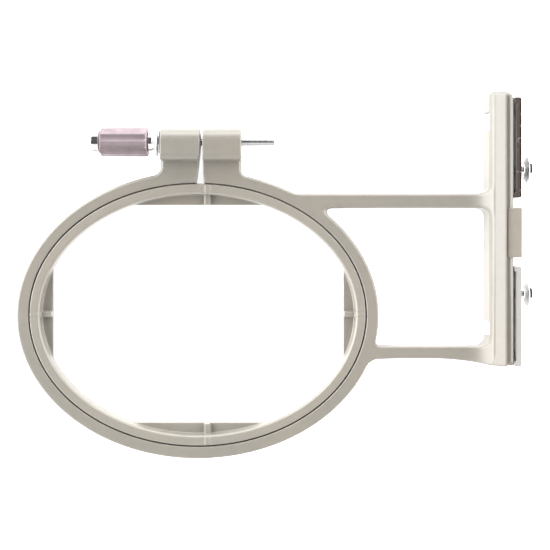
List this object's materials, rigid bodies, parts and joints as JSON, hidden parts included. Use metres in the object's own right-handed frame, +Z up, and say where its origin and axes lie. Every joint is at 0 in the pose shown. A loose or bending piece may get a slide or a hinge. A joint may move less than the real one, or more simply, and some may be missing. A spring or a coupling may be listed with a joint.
{
  "type": "machine embroidery hoop",
  "caption": "Oval machine-embroidery hoop: split clamping ring with thumb screw, lift-out inner frame with windowed shelf, and arms to a bracket with mushroom mounting studs.",
  "frame": {"origin": "centre of the bounding box in plan, on the surface the hoop lies on", "axes": "+X from the oval hoop to the mounting studs, +Y towards the clamp screw, +Z up out of the face that the fabric is stretched on"},
  "size_m": [0.233, 0.1647, 0.015],
  "materials": {
    "hoop_plastic": "fine satin moulding, warm light grey",
    "inner_plastic": "fine satin moulding, warm light grey",
    "block_plastic": "matt beige moulding",
    "knob_satin": "satin, fine knurl, pinkish grey",
    "chrome": "polished",
    "plate_steel": "bright face, dark sheared edge",
    "shaft_steel": "turned",
    "insert_brass": "turned",
    "screw_zinc": "zinc plated"
  },
  "bodies": {
    "frame": {"outer_frame": "hoop_plastic", "lug_insert_nut": "insert_brass", "locating_block": "block_plastic", "block_screw_a": "screw_zinc", "block_screw_b": "screw_zinc", "mount_plate_upper": "plate_steel", "mount_stud_upper": "chrome", "stud_washer_upper": "screw_zinc", "stud_nut_upper": "screw_zinc", "mount_plate_lower": "plate_steel", "mount_stud_lower": "chrome", "stud_washer_lower": "screw_zinc", "stud_nut_lower": "screw_zinc", "plate_screw_upper_in": "screw_zinc", "plate_screw_upper_out": "screw_zinc", "plate_screw_lower_in": "screw_zinc", "plate_screw_lower_out": "screw_zinc"},
    "ring_half": {"outer_ring_left_half": "hoop_plastic"},
    "inner": {"inner_frame": "inner_plastic"},
    "washer": {"thrust_washer": "chrome", "lug_washer": "chrome"},
    "screw": {"clamp_screw_shaft": "shaft_steel", "knob_barrel": "knob_satin", "knob_end_cap": "chrome", "knob_ferrule": "chrome"}
  },
  "joints": [
    {"name": "screw_travel", "type": "slide", "parent": "frame", "child": "washer", "axis": [-1, 0, 0], "range_m": [0, 0.00401]},
    {"name": "screw_turn", "type": "hinge", "parent": "washer", "child": "screw", "pos_m": [-0.0684, 0.06005, 0.007], "axis": [-1, 0, 0], "range_deg": [0, 2057.14]},
    {"name": "ring_flex", "type": "hinge", "parent": "frame", "child": "ring_half", "pos_m": [-0.0351, -0.07985, 0.004], "axis": [0, 0, 1], "range_deg": [0, 1.64]},
    {"name": "inner_frame_lift", "type": "slide", "parent": "frame", "child": "inner", "axis": [0, 0, 1], "range_m": [0, 0.025]}
  ],
  "couplings": [
    {"joint": "screw_travel", "follows": "screw_turn", "m_per_rad": 0.00011141},
    {"joint": "ring_flex", "follows": "screw_turn", "ratio": 0.00079645}
  ]
}
